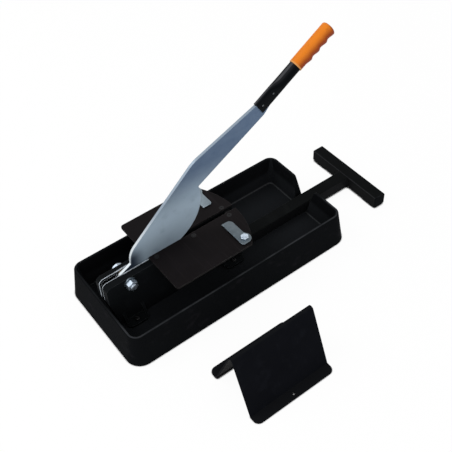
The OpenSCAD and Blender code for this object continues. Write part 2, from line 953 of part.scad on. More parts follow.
rivet_head_t = 1.2;
rivet_head_r = 0.7*rivet_d;

module handle_rivets()
    color(black_paint)
        at_handle()
            for (i = [0, 1])
                translate([0, 0, rivet_in + i*rivet_pitch]) {
                    rod_y(rivet_d/2, -flat_t/2 - rivet_head_t/2, flat_t/2 + rivet_head_t/2);
                    for (m = [0, 1])
                        mirror([0, m, 0])
                            rod_y(rivet_head_r, flat_t/2 + slack, flat_t/2 + rivet_head_t);
                }

// Half section of the grip's body with its rounded end
module grip_half()
    difference() {
        square([grip_r, grip_l]);
        translate([grip_r - grip_end_r, grip_l - grip_end_r])
            difference() {
                square(grip_end_r + eps);
                circle(grip_end_r);
            }
    }

module handle_grip()
    color(orange_grip)
        at_handle()
            translate([0, 0, tube_free])
                difference() {
                    union() {
                        rotate_extrude()
                            grip_half();
                        cylinder(r = grip_r + lip_h, h = lip_l);
                        for (i = [0:grip_bumps - 1])
                            translate([bump_drop, 0, bump_in + i*bump_pitch])
                                sphere(bump_r);
                        translate([flare_drop, 0, flare_z])
                            sphere(flare_r);
                    }
                    translate([0, 0, -eps])
                        cylinder(d = tube_d + 2*fit, h = tube_len - tube_free + slack + eps);
                }

// End view of the stand: a bent strip from foot to foot over the ridge
module stand_end() {
    ridge = [0, ridge_z];
    outer = arc(ridge, ridge_r, stand_lean, 180 - stand_lean);
    inner = arc(ridge, ridge_r - stand_t, 180 - stand_lean, stand_lean);
    top_bend = stand_bend_y - stand_t*tan(stand_lean);
    low_bend = stand_bend_y - stand_t/cos(stand_lean);
    polygon(concat(
        [[stand_half, 0], [stand_half, stand_t], [top_bend, stand_t]],
        outer,
        [[-top_bend, stand_t], [-stand_half, stand_t], [-stand_half, 0], [-low_bend, 0]],
        inner,
        [[low_bend, 0]]));
}

// Cutter that rounds a foot's corner at the origin, the foot lying in +X and +Y
module corner_cut()
    translate([0, 0, -eps])
        linear_extrude(stand_t + 2*eps)
            difference() {
                translate([-eps, -eps])
                    square(stand_corner_r + eps);
                translate([stand_corner_r, stand_corner_r])
                    circle(stand_corner_r);
            }

module plank_stand()
    color(black_paint)
        translate([stand_x0 + stand_w/2, stand_y, 0])
            difference() {
                translate([-stand_w/2, 0, 0])
                    rotate([90, 0, 90])
                        linear_extrude(stand_w)
                            stand_end();
                for (mx = [0, 1], my = [0, 1])
                    mirror([mx, 0, 0])
                        mirror([0, my, 0])
                            translate([-stand_w/2, -stand_half, 0])
                                corner_cut();
                for (s = [-1, 1])
                    translate([0, s*stand_hole_y, -eps])
                        cylinder(d = stand_hole_d, h = stand_t + 2*eps);
            }

base_tray();
frame_near();
frame_far();
frame_screws();
table_near();
table_far();
table_screws();
fence_near();
fence_far();
fence_bolts();
fence_nuts();
pivot_bolt();
pivot_bush();
pivot_washer();
pivot_nut();
stop_bolt();
stop_sleeve();
stop_nut();
stem_tube();
cross_tube();
cross_caps();
foot_pads();
stem_bolts();
stem_nuts();
blade();
handle_tube();
handle_rivets();
handle_grip();
plank_stand();
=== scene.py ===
"""Laminate cutter: finishes, fasteners, welds, handle tube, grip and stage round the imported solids."""

import json
import math
from collections import namedtuple

import bmesh
import bpy
from bpy.props import FloatProperty, FloatVectorProperty, PointerProperty
from bpy.types import Operator, Panel, PropertyGroup
from mathutils import Matrix, Vector


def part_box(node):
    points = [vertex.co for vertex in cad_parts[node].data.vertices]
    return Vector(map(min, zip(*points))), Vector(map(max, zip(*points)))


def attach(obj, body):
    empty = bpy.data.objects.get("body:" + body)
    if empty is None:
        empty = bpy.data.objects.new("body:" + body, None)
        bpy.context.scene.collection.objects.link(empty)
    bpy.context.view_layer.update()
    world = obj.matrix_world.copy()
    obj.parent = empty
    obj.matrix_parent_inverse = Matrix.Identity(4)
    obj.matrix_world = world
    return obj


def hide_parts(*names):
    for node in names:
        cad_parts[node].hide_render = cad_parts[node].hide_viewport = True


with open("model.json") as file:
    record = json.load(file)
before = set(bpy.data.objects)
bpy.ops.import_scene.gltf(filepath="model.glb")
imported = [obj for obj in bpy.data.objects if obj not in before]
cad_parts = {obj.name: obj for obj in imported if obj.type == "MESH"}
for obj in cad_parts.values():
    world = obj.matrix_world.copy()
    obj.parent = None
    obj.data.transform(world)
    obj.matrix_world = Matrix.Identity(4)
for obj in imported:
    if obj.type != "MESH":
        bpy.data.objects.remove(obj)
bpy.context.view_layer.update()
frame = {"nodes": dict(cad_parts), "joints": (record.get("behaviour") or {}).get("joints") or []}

bl_info = {
    "name": "Laminate cutter",
    "version": (1, 0, 0),
    "blender": (4, 5, 0),
    "location": "3D View > Sidebar > Cutter",
    "description": "Dresses the laminate cutter with its finishes, fasteners, welds, grip and stage",
    "category": "Object",
}

MM = 0.001
UP, DOWN, BACK, FRONT = (0, 0, 1), (0, 0, -1), (0, 1, 0), (0, -1, 0)
WHITE = (1, 1, 1, 1)

# Tones of dust and wear, and of painted light, shade, highlights and reflections on the finishes
TRAY_SMUDGE = (0.0105, 0.0100, 0.0120)
TRAY_DUST_AND_SHEEN = (0.055, 0.058, 0.062)
TRAY_SCUFF = (0.045, 0.047, 0.051)
TRAY_RIM_HIGHLIGHT = (0.034, 0.036, 0.040)
COAT_SCUFF = (0.060, 0.063, 0.068)
BARE_STEEL = (0.80, 0.88, 0.96)
TABLE_SCUFF = (0.090, 0.088, 0.086)
BLADE_BORDER = (0.42, 0.50, 0.58)
BLADE_BACK = (0.56, 0.61, 0.64)
ARM_BACK = (0.22, 0.27, 0.325)
GRIP_LIP_HIGHLIGHT = (0.64, 0.33, 0.11)
FOOT_END_LIGHT = (0.0075, 0.0078, 0.0082)
FOOT_SIDE_LIGHT = (0.0090, 0.0095, 0.0104)
FOOT_EDGE_HIGHLIGHT = (0.036, 0.037, 0.040)
TUBE_UPPER_REFLECTION = (0.0125, 0.0132, 0.0152)
TUBE_CREST_HIGHLIGHT = (0.058, 0.059, 0.064)
RIVET_GLINT = (0.13, 0.14, 0.15)
STAND_TOP_LIGHT = (0.0070, 0.0074, 0.0086)
STAND_UNDER_SHADE = (0.0016, 0.0017, 0.0019)
FLOOR_CONTACT_SHADE = (0.03, 0.03, 0.033)
FLOOR_PAPER = (0.9, 0.9, 0.9)

# Hexagon fasteners: width over flats, height of the head, radius of the shank
Hex = namedtuple("Hex", "flats head radius")
M12 = Hex(18 * MM, 7.8 * MM, 6 * MM)
M8 = Hex(13.2 * MM, 5.2 * MM, 4 * MM)
M8_LOW = Hex(13.2 * MM, 3.6 * MM, 4 * MM)
M6 = Hex(9.9 * MM, 3.9 * MM, 3 * MM)

# Screw heads from below to the top: shares of the head's radius and height
PAN_HEAD = ((1, 0), (1, 0.35), (0.93, 0.7), (0.75, 0.93), (0.62, 1))
SUNK_HEAD = ((0.53, 0), (0.98, 0.94), (0.94, 1))
PAN_HEIGHT = 3.5 * MM
SUNK_HEIGHT = 2.4 * MM

# Points round a section
HEX_POINTS = 48
SHANK_POINTS = 32
SCREW_POINTS = 24
RECESS_POINTS = 96
GRIP_POINTS = 72
BEAD_POINTS = 14

# Room between the blade's arm, the tube and the grip
SLACK = 0.05 * MM

# How far the floor lies below the feet
FLOOR_DROP = 0.4 * MM


class Value:
    """A shader socket that stands in Python expressions; each operation adds its Math node."""

    def __init__(self, nodes, socket):
        self.nodes = nodes
        self.socket = socket

    def maths(self, operation, *operands):
        return self.nodes.node("ShaderNodeMath", {"operation": operation}, dict(enumerate(operands)))

    def __add__(self, other):
        return self.maths("ADD", self, other)

    def __sub__(self, other):
        return self.maths("SUBTRACT", self, other)

    def __rsub__(self, other):
        return self.maths("SUBTRACT", other, self)

    def __mul__(self, other):
        return self.maths("MULTIPLY", self, other)

    def __or__(self, other):
        """The larger of two masks."""
        return self.maths("MAXIMUM", self, other)

    def __abs__(self):
        return self.maths("ABSOLUTE", self)

    __radd__ = __add__
    __rmul__ = __mul__


class Nodes:
    """A node tree; each of its nodes comes from one method."""

    def __init__(self, tree):
        self.tree = tree
        tree.nodes.clear()

    def node(self, kind, settings=None, sockets=None, out=0):
        """Add a node: its settings first, then the values or links of its sockets."""
        made = self.tree.nodes.new(kind)
        for name, value in (settings or {}).items():
            setattr(made, name, value)
        for name, value in (sockets or {}).items():
            if isinstance(value, Value):
                self.tree.links.new(value.socket, made.inputs[name])
            else:
                made.inputs[name].default_value = value
        return Value(self, made.outputs[out]) if made.outputs else None

    def seen(self):
        """One for the rays that show the white surround, straight, mirrored or through glass."""
        straight, mirrored, through = (self.node("ShaderNodeLightPath", out=f"Is {kind} Ray")
                                       for kind in ("Camera", "Glossy", "Transmission"))
        return straight | mirrored | through


class Finish(Nodes):
    """One procedural material, with the few patterns that the cutter's surfaces share."""

    def __init__(self, name):
        self.material = bpy.data.materials.new(name)
        self.material.use_nodes = True
        super().__init__(self.material.node_tree)
        self.place = self.node("ShaderNodeTexCoord", out="Object")

    def noise(self, grain, detail=3.0, stretch=(1, 1, 1)):
        """Noise whose patches are about grain millimetres across, drawn out by stretch."""
        place = self.place
        if stretch != (1, 1, 1):
            scale = [1 / s for s in stretch]
            place = self.node("ShaderNodeMapping", None, {"Vector": place, "Scale": scale})
        sockets = {"Vector": place, "Scale": 1 / (grain * MM), "Detail": detail}
        return self.node("ShaderNodeTexNoise", None, sockets)

    def fade(self, value, low, high):
        """Nought at low, one at high, smooth between."""
        sockets = {"Value": value, "From Min": low, "From Max": high}
        return self.node("ShaderNodeMapRange", {"interpolation_type": "SMOOTHSTEP"}, sockets)

    def band(self, value, middle, half, soft):
        """One where a place in metres lies within half a width of the middle."""
        return self.fade(abs(value - middle), half + soft, half)

    def mix(self, share, first, second):
        """One colour over another."""
        sockets = {0: share, 6: (*first, 1) if isinstance(first, tuple) else first,
                   7: (*second, 1) if isinstance(second, tuple) else second}
        return self.node("ShaderNodeMix", {"data_type": "RGBA"}, sockets, out=2)

    def axis(self, name):
        """The surface point's own X, Y or Z, in metres."""
        return self.node("ShaderNodeSeparateXYZ", None, {0: self.place}, out=name)

    def dot(self, first, second):
        """Dot product of two vectors."""
        sockets = {0: first, 1: second}
        return self.node("ShaderNodeVectorMath", {"operation": "DOT_PRODUCT"}, sockets, out="Value")

    def reach(self, way):
        """How far a surface point lies along a way, in metres."""
        return self.dot(self.place, way)

    def facing(self, way, low, high):
        """One where the surface faces a way; low and high are cosines."""
        normal = self.node("ShaderNodeTexCoord", out="Normal")
        return self.fade(self.dot(normal, Vector(way).normalized()), low, high)

    def soft_edge(self, radius):
        """Normal of edges rounded by radius millimetres."""
        return self.node("ShaderNodeBevel", {"samples": 6}, {"Radius": radius * MM})

    def edge(self, rounded):
        """One along the edges that a rounded normal softens."""
        flat = self.node("ShaderNodeNewGeometry", out="Normal")
        return self.fade(1 - self.dot(rounded, flat), 0.02, 0.2)

    def bump(self, height, depth, normal=None):
        """Relief of depth millimetres over an optional rounded normal."""
        sockets = {"Height": height, "Distance": depth * MM}
        if normal:
            sockets["Normal"] = normal
        return self.node("ShaderNodeBump", None, sockets)

    def close(self, **sockets):
        """Wire the surface; names come with _ for a space."""
        named = {name.replace("_", " "): value for name, value in sockets.items()}
        surface = self.node("ShaderNodeBsdfPrincipled", None, named)
        self.node("ShaderNodeOutputMaterial", None, {"Surface": surface})
        return self.material


def shade(colour, share):
    """A colour made darker or lighter."""
    return tuple(min(1.0, c * share) for c in colour)


def moulded_plastic(name, colour, basin_x, basin_y, rim_z):
    """Satin moulded plastic: fine grain, dust on its floor, painted light in the basin, a pale line at the
    foot of the walls that is dust and a painted highlight, a painted highlight along the rim, scuffed edges.

    basin_x and basin_y are half the inside of the tray, rim_z is the height of its rim."""
    f = Finish(name)
    x, y, z = f.axis("X"), f.axis("Y"), f.axis("Z")
    rounded = f.soft_edge(1.4)
    cloud = f.noise(90, 4)
    up = f.facing(UP, 0.6, 0.95)
    dust = f.fade(f.noise(16, 6), 0.42, 0.72) * up
    smudge = f.fade(f.noise(26, 6, (1, 1, 0.6)), 0.56, 0.74)
    scuff = f.edge(rounded) * f.fade(f.noise(9, 5), 0.35, 0.6)
    basin = f.fade(abs(x), basin_x + MM, basin_x) * f.fade(abs(y), basin_y + MM, basin_y)
    ground = f.fade(z, 10 * MM, 5 * MM)
    # Pale line at the foot of the walls inside the basin: dust gathered there, and a painted highlight on the
    # rounded foot of the wall.
    dust_and_sheen_line = f.fade(z, 7.2 * MM, 5 * MM) * (1 - up) * basin
    # Painted highlight along the rim's crest, stronger on the near side and broken by noise.
    near = 0.2 + f.fade(y, -40 * MM, -80 * MM) * 0.8
    crest_highlight = f.fade(z, rim_z - 0.6 * MM, rim_z - 0.3 * MM) * near
    crest_highlight = crest_highlight * (0.4 + f.fade(f.noise(30, 4), 0.35, 0.65) * 0.5)
    base = f.mix(cloud, shade(colour, 0.75), shade(colour, 1.25))
    base = f.mix(smudge * 0.6, base, TRAY_SMUDGE)
    # Painted light: the inside of the basin is lightened where its depth keeps it in shade.
    base = f.mix(basin * 0.8, base, shade(colour, 2.6))
    # Painted light on up-facing surfaces low in the basin, as if lit from above; the patchy part is dust.
    base = f.mix(up * ground * 0.4 + dust * 0.3, base, shade(colour, 2.6))
    base = f.mix(dust_and_sheen_line * 0.8, base, TRAY_DUST_AND_SHEEN)
    base = f.mix(scuff * 0.5, base, TRAY_SCUFF)
    base = f.mix(crest_highlight, base, TRAY_RIM_HIGHLIGHT)
    grain = f.noise(1.3, 2) + f.noise(5, 3) * 0.4
    return f.close(Base_Color=base, Roughness=0.38 + cloud * 0.14 + dust * 0.15,
                   Specular_IOR_Level=0.002, Normal=f.bump(grain, 0.08, rounded))


def powder_coat(name, colour, gloss, sheen, scuffed=0.6, painted_light=(), slot=None):
    """Powder coat with orange peel, patches and paler edges.

    Sides that face the listed ways, within the listed limits, are painted to the listed tones as painted
    light and shade.
    slot gives what slot_wear needs where a slot's edges are worn bright."""
    f = Finish(name)
    rounded = f.soft_edge(1.2)
    peel = f.noise(2.2, 2)
    cloud = f.noise(60, 5)
    rub = f.fade(f.noise(22, 6, (1, 3, 1)), 0.52, 0.75)
    scuff = f.edge(rounded) * (0.4 + f.fade(f.noise(7, 6), 0.34, 0.62) * 0.6)
    base = f.mix(cloud, shade(colour, 0.75), shade(colour, 1.3))
    base = f.mix(rub * 0.35, base, shade(colour, 2.0))
    base = f.mix(scuff * scuffed, base, COAT_SCUFF)
    # Painted light and shade: each listed side takes its own tone.
    for way, low, high, tone in painted_light:
        base = f.mix(f.facing(way, low, high) * (0.6 + f.noise(14, 5) * 0.6), base, tone)
    if slot:
        base = slot_wear(f, base, *slot)
    return f.close(Base_Color=base, Roughness=gloss + cloud * 0.12 - rub * 0.08,
                   Specular_IOR_Level=sheen, Normal=f.bump(peel, 0.05, rounded))


def slot_wear(f, base, edges, from_z, blade_x, to_x):
    """Bright steel on a slot's edges above a height, broader from the blade on, as far as the table."""
    x, y, z = f.axis("X"), f.axis("Y"), f.axis("Z")
    beside = f.edge(f.soft_edge(6.5)) * f.fade(x, blade_x, blade_x + 20 * MM)
    worn = (f.edge(f.soft_edge(3.0)) | beside) * f.fade(z, from_z, from_z + 12 * MM)
    worn = worn * (0.8 + f.fade(f.noise(5, 4), 0.3, 0.6) * 0.2) * f.fade(x, to_x + 10 * MM, to_x)
    for place in edges:
        base = f.mix(worn * f.band(y, place, 2.4 * MM, 0.8 * MM), base, BARE_STEEL)
    return base


def table_coat(name, colour):
    """Painted table plate with drag marks across it and scuffed edges."""
    f = Finish(name)
    rounded = f.soft_edge(0.9)
    peel = f.noise(1.8, 2)
    cloud = f.noise(45, 5)
    drag = f.fade(f.noise(3, 5, (1, 30, 1)), 0.56, 0.72) * f.facing(UP, 0.6, 0.95)
    scuff = f.edge(rounded) * f.fade(f.noise(6, 6), 0.32, 0.6)
    base = f.mix(cloud, shade(colour, 0.75), shade(colour, 1.3))
    base = f.mix(drag * 0.4, base, shade(colour, 2.4))
    base = f.mix(scuff * 0.7, base, TABLE_SCUFF)
    return f.close(Base_Color=base, Roughness=0.36 + cloud * 0.14 + drag * 0.12,
                   Specular_IOR_Level=0.03, Normal=f.bump(peel, 0.05, rounded))


def plated_steel(name, colour, gloss, brushed=(1, 12, 1), edge_r=0.6):
    """Plated steel: a mottled sheen, fine brush lines, edges painted brighter as highlights."""
    f = Finish(name)
    rounded = f.soft_edge(edge_r)
    mottle = f.noise(7, 5)
    lines = f.noise(0.9, 4, brushed)
    smear = f.fade(f.noise(18, 4), 0.5, 0.75)
    base = f.mix(mottle, shade(colour, 0.72), shade(colour, 1.22))
    base = f.mix(smear * 0.3, base, shade(colour, 0.6))
    # Painted highlight: edges brighter as if catching light.
    base = f.mix(f.edge(rounded) * 0.8, base, shade(colour, 2.4))
    return f.close(Base_Color=base, Metallic=1.0, Roughness=gloss + mottle * 0.14 + lines * 0.08,
                   Normal=f.bump(lines, 0.02, rounded))


def blade_steel(name, low_colour, high_colour, low_z, high_z, slot_x, slot_z):
    """Ground blade steel: grinding lines, a blued arm, oil in patches, painted shade low at its root and
    above the slot by the table's end, bright edges.

    The colour turns from low to high between two heights. slot_x and slot_z are where the slot goes
    under the table and the height of its edges."""
    f = Finish(name)
    x, z = f.axis("X"), f.axis("Z")
    rounded = f.soft_edge(0.8)
    lines = f.noise(1.2, 5, (14, 1, 9))
    patches = f.noise(55, 4, (1.6, 1, 1))
    oil = f.fade(f.noise(26, 5), 0.52, 0.78)
    side = f.facing(BACK, 0.5, 0.9) | f.facing(FRONT, 0.5, 0.9)
    upper = f.fade(z, low_z, high_z)
    # Painted shade low on the blade near its root, where the tray hides it from light.
    root_shade = f.fade(z, low_z, low_z - 60 * MM) * f.fade(x, slot_x + 110 * MM, slot_x + 30 * MM)
    # Darker painted shade just above the slot, past the table's end.
    slot_shade = f.fade(z, slot_z + 48 * MM, slot_z + 18 * MM) * f.fade(x, slot_x - 2 * MM, slot_x - 32 * MM)
    base = f.mix(upper, f.mix(root_shade, low_colour, shade(low_colour, 0.6)), high_colour)
    base = f.mix(patches * 0.25, base, shade(high_colour, 1.5))
    base = f.mix(oil * 0.3, base, shade(high_colour, 0.7))
    base = f.mix(lines * 0.12, base, shade(low_colour, 1.2))
    base = f.mix(slot_shade, base, shade(high_colour, 0.22))
    base = f.mix(f.edge(f.soft_edge(3.2)) * 0.45, base, BLADE_BORDER)
    bright = f.edge(rounded) * 0.4 | (1 - side)
    narrow = f.mix(f.fade(z, low_z - 30 * MM, low_z + 30 * MM), BLADE_BACK, ARM_BACK)
    base = f.mix(bright, base, narrow)
    return f.close(Base_Color=base, Metallic=0.25 + upper * 0.6,
                   Roughness=0.40 + patches * 0.10 - oil * 0.08, Normal=f.bump(lines, 0.02, rounded))


def moulded_vinyl(name, lit, shaded, way, lip):
    """Soft vinyl grip: painted light on its upper side and painted shade on its lower side, a painted
    highlight on its lip, a little grime, a fine skin.

    lip is how far along the grip's way its lower end lies."""
    f = Finish(name)
    rounded = f.soft_edge(1.0)
    cloud = f.noise(24, 4)
    grime = f.fade(f.noise(11, 6), 0.55, 0.8)
    skin = f.noise(1.0, 3)
    # Painted light and shade: the side facing up and back takes the lit colour, the rest the shaded colour.
    upper = f.facing((-0.6, 0.35, 0.7), -0.45, 0.80)
    # Painted highlight along the rolled lip at the grip's lower end.
    lip_highlight = f.fade(f.reach(way), lip + 3.6 * MM, lip + 1.4 * MM)
    base = f.mix(upper, shaded, lit)
    base = f.mix(cloud * 0.25, base, shade(shaded, 1.1))
    base = f.mix(grime * 0.25, base, shade(shaded, 0.6))
    base = f.mix(lip_highlight * 0.75, base, GRIP_LIP_HIGHLIGHT)
    return f.close(Base_Color=base, Roughness=0.42 + grime * 0.2, Specular_IOR_Level=0.1,
                   Normal=f.bump(skin, 0.05, rounded))


def moulded_rubber(name, colour):
    """Matt rubber with a coarse skin."""
    f = Finish(name)
    skin = f.noise(1.6, 4)
    base = f.mix(f.noise(12, 4), shade(colour, 0.7), shade(colour, 1.6))
    return f.close(Base_Color=base, Roughness=0.75 + skin * 0.15, Specular_IOR_Level=0.1,
                   Normal=f.bump(skin, 0.12))


def turned_bronze(name, colour):
    """Bush metal with turning rings."""
    f = Finish(name)
    rings = f.noise(0.8, 3, (1, 10, 1))
    base = f.mix(rings, shade(colour, 0.7), shade(colour, 1.2))
    return f.close(Base_Color=base, Metallic=1.0, Roughness=0.3 + rings * 0.2, Normal=f.bump(rings, 0.02))


def dress(finish, *nodes):
    """Give CAD nodes a finish."""
    for name in nodes:
        mesh = frame["nodes"][name].data
        mesh.materials.clear()
        mesh.materials.append(finish)


def solids_of(node):
    """The lowest and highest corner of each separate solid in a CAD node."""
    bm = bmesh.new()
    bm.from_mesh(frame["nodes"][node].data)
    bmesh.ops.remove_doubles(bm, verts=bm.verts, dist=1e-6)
    left = set(bm.verts)
    boxes = []
    while left:
        todo = [left.pop()]
        seen = []
        while todo:
            v = todo.pop()
            seen.append(v.co.copy())
            for e in v.link_edges:
                w = e.other_vert(v)
                if w in left:
                    left.discard(w)
                    todo.append(w)
        boxes.append((Vector(map(min, zip(*seen))), Vector(map(max, zip(*seen)))))
    bm.free()
    return sorted(boxes, key=lambda b: tuple(b[0]))


def middle(box):
    """The middle of a box."""
    return (box[0] + box[1]) / 2


def seated(box, way, height):
    """The middle of a box, moved along a way to a height on it."""
    at = middle(box)
    return at + way * (height - at.dot(way))


def turned(rings, steps):
    """Sections all round; a ring gives radius and height for an angle."""
    angles = [2 * math.pi * i / steps for i in range(steps)]
    sections = []
    for ring in rings:
        polar = [(a, *ring(a)) for a in angles]
        sections.append([(r * math.cos(a), r * math.sin(a), z) for a, r, z in polar])
    return sections


def skin(bm, place, sections, ring=False):
    """Faces over sections of equal count: closed with flat ends, or joined end to end in a ring."""
    rows = [[bm.verts.new(place @ Vector(p)) for p in section] for section in sections]
    for low, high in zip(rows, rows[1:] + rows[:1] if ring else rows[1:]):
        for i in range(len(low)):
            j = (i + 1) % len(low)
            bm.faces.new((low[i], low[j], high[j], high[i]))
    if not ring:
        bm.faces.new(tuple(reversed(rows[0])))
        bm.faces.new(tuple(rows[-1]))


def even(r, z):
    """A round ring."""
    return lambda a: (r, z)


def hexagon(flats, a):
    """Radius of a hexagon at an angle, corners at 0, 60 and so on."""
    return flats / 2 / math.cos(a % (math.pi / 3) - math.pi / 6)


def cross_recess(length, width, a):
    """Radius of a cross-shaped recess at an angle."""
    off = abs((a + math.pi / 4) % (math.pi / 2) - math.pi / 4)
    return min(length / 2, width / 2 / max(math.sin(off), 1e-3))


def hex_rings(flats, low, high, chamfer_low, chamfer_high):
    """Rings of a hexagon from low to high, its corners chamfered at the ends asked for."""
    face = 0.47 * flats
    slope = math.tan(math.radians(30))

    def side(z, chamfered, turn):
        def ring(a):
            r = hexagon(flats, a)
            return r, z + (turn * slope * max(0.0, r - face) if chamfered else 0.0)
        return ring

    def cap(z, chamfered):
        return lambda a: (min(face, hexagon(flats, a)) if chamfered else hexagon(flats, a), z)

    return [cap(low, chamfer_low), side(low, chamfer_low, 1),
            side(high, chamfer_high, -1), cap(high, chamfer_high)]


def thread_rings(radius, pitch, start, end, steps_per_turn=8):
    """Rings of a threaded end with a chamfered tip."""
    depth = 0.45 * pitch
    count = max(2, int((end - start) / pitch * steps_per_turn))

    def ring(z):
        tip = max(0.0, z - (end - depth))

        def at(a):
            wave = 0.5 - 0.5 * math.cos(2 * math.pi * (z / pitch) - a)
            return min(radius - depth * wave, radius - tip), z
        return at

    return [ring(start + (end - start) * i / count) for i in range(count + 1)]


def piece(name, bm, finish, body, slot, *stands_for):
    """Turn a bmesh into a named piece that rides on a body."""
    bmesh.ops.recalc_face_normals(bm, faces=bm.faces)
    mesh = bpy.data.meshes.new(name)
    bm.to_mesh(mesh)
    bm.free()
    mesh.materials.append(finish)
    mesh.shade_smooth()
    mesh.set_sharp_from_angle(angle=math.radians(32))
    made = bpy.data.objects.new(name, mesh)
    bpy.context.scene.collection.objects.link(made)
    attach(made, body)
    if stands_for:
        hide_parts(*stands_for)
    return made


def along(axis, at):
    """Placing matrix with its Z along axis."""
    return Matrix.Translation(at) @ Vector(axis).to_track_quat("Z", "X").to_matrix().to_4x4()


def bolt(bm, place, size, length, pitch, threaded):
    """Hexagon bolt: head above nought, shank below it, its end threaded."""
    skin(bm, place, turned(hex_rings(size.flats, 0.0, size.head, False, True), HEX_POINTS))
    down = place @ Matrix.Rotation(math.pi, 4, "X")
    plain = length - threaded
    rings = [even(size.radius, -0.2 * size.head), even(size.radius, plain)]
    skin(bm, down, turned(rings + thread_rings(size.radius, pitch, plain, length), SHANK_POINTS))


def nut(bm, place, size, height):
    """Hexagon nut on a bore, chamfered at both ends."""
    rings = hex_rings(size.flats, 0.0, height, True, True)
    rings += [even(size.radius, height), even(size.radius, 0.0)]
    skin(bm, place, turned(rings, HEX_POINTS), ring=True)


def screw(bm, place, rings, radius, depth, length):
    """Screw with a cross recess in its head; rings run from under the head to its top face."""
    top = rings[-1](0.0)[1]
    recess = 1.15 * radius
    slit = 0.34 * radius
    rings = rings + [lambda a: (cross_recess(recess, slit, a), top),
                     lambda a: (0.7 * cross_recess(recess, slit, a), top - depth)]
    skin(bm, place, turned(rings, RECESS_POINTS))
    shank = 0.5 * radius
    skin(bm, place, turned([even(shank, -length), even(shank, 0.0)], SCREW_POINTS))


def smooth(share):
    """Smooth step from nought to one."""
    share = min(1.0, max(0.0, share))
    return share * share * (3 - 2 * share)


def sweep(centre, radius, start, end, steps=12):
    """Points of an arc about a centre, angles in degrees."""
    angles = [math.radians(start + (end - start) * i / steps) for i in range(steps + 1)]
    return [(centre[0] + radius * math.cos(a), centre[1] + radius * math.sin(a)) for a in angles]


def shrunk(outline, inset):
    """An outline that runs counter-clockwise, moved in by a small inset."""
    moved = []
    for i, (x, y) in enumerate(outline):
        before, after = outline[i - 1], outline[(i + 1) % len(outline)]
        way = Vector((after[0] - before[0], after[1] - before[1])).normalized()
        moved.append((x - way.y * inset, y + way.x * inset))
    return moved


def pressed(straight, radius, z, steps=48):
    """Section of a tube pressed flat: two half rounds, a straight length apart."""
    section = []
    for i in range(steps):
        a = 2 * math.pi * (i + 0.5) / steps
        across = radius * math.cos(a)
        section.append((across + math.copysign(straight, across), radius * math.sin(a), z))
    return section


def cut_away(bm, *cutters):
    """Take other closed skins out of a closed skin."""
    meshes = []
    for part in (bm, *cutters):
        bmesh.ops.recalc_face_normals(part, faces=part.faces)
        mesh = bpy.data.meshes.new("blank")
        part.to_mesh(mesh)
        part.free()
        made = bpy.data.objects.new("blank", mesh)
        bpy.context.scene.collection.objects.link(made)
        meshes.append(made)
    body = meshes[0]
    for cutter in meshes[1:]:
        cut = body.modifiers.new("cut", "BOOLEAN")
        cut.operation = "DIFFERENCE"
        cut.solver = "EXACT"
        cut.object = cutter
    bpy.context.view_layer.update()
    done = bmesh.new()
    done.from_object(body, bpy.context.evaluated_depsgraph_get())
    for made in meshes:
        mesh = made.data
        bpy.data.objects.remove(made)
        bpy.data.meshes.remove(mesh)
    return done


def place_of(name, description, value):
    """A place that a user can change, in metres."""
    return FloatVectorProperty(name=name, description=description, subtype="TRANSLATION", unit="LENGTH",
                               default=value)


def colour_of(name, description, value):
    """A colour that a user can change."""
    return FloatVectorProperty(name=name, description=description, subtype="COLOR", min=0, max=1,
                               default=value)


def length_of(name, description, value):
    """A length that a user can change; value in millimetres."""
    return FloatProperty(name=name, description=description, unit="LENGTH", default=value * MM)


class CutterColours(PropertyGroup):
    """Colours of the finishes."""

    tray: colour_of("Tray", "Moulded plastic of the tray and caps", (0.0046, 0.0051, 0.0058))
    coat: colour_of("Powder coat", "Coat of the half frames", (0.0052, 0.0060, 0.0068))
    foot: colour_of("Foot coat", "Coat of the T foot", (0.0051, 0.0056, 0.0058))
    tube: colour_of("Handle coat", "Coat of the handle tube", (0.0025, 0.0033, 0.0042))
    stand: colour_of("Stand coat", "Coat of the loose stand", (0.0046, 0.0050, 0.0066))
    table: colour_of("Table coat", "Paint of the table plates", (0.0074, 0.0062, 0.0067))
    zinc: colour_of("Zinc", "Plating of stops, nuts, washer and hidden bolts", (0.130, 0.158, 0.178))
    bright: colour_of("Bright steel", "Bolts of the pivot and the fence stops", (0.550, 0.635, 0.735))
    dull: colour_of("Dull steel", "Screws of the table and the half frames", (0.025, 0.025, 0.026))
    blade: colour_of("Blade", "Ground steel of the blade's lower half", (0.400, 0.502, 0.590))
    arm: colour_of("Arm", "Blued steel of the blade's arm", (0.071, 0.114, 0.192))
    # The grip's vinyl comes as a lit and a shaded copy: painted light and shade.
    grip: colour_of("Grip", "Vinyl of the grip, lit side", (0.76, 0.215, 0.013))
    grip_shaded: colour_of("Grip underside", "Vinyl of the grip, lower side", (0.24, 0.035, 0.006))
    rubber: colour_of("Rubber", "Pads under the T foot", (0.008, 0.008, 0.008))
    bronze: colour_of("Bush", "Bush round the pivot", (0.09, 0.075, 0.055))


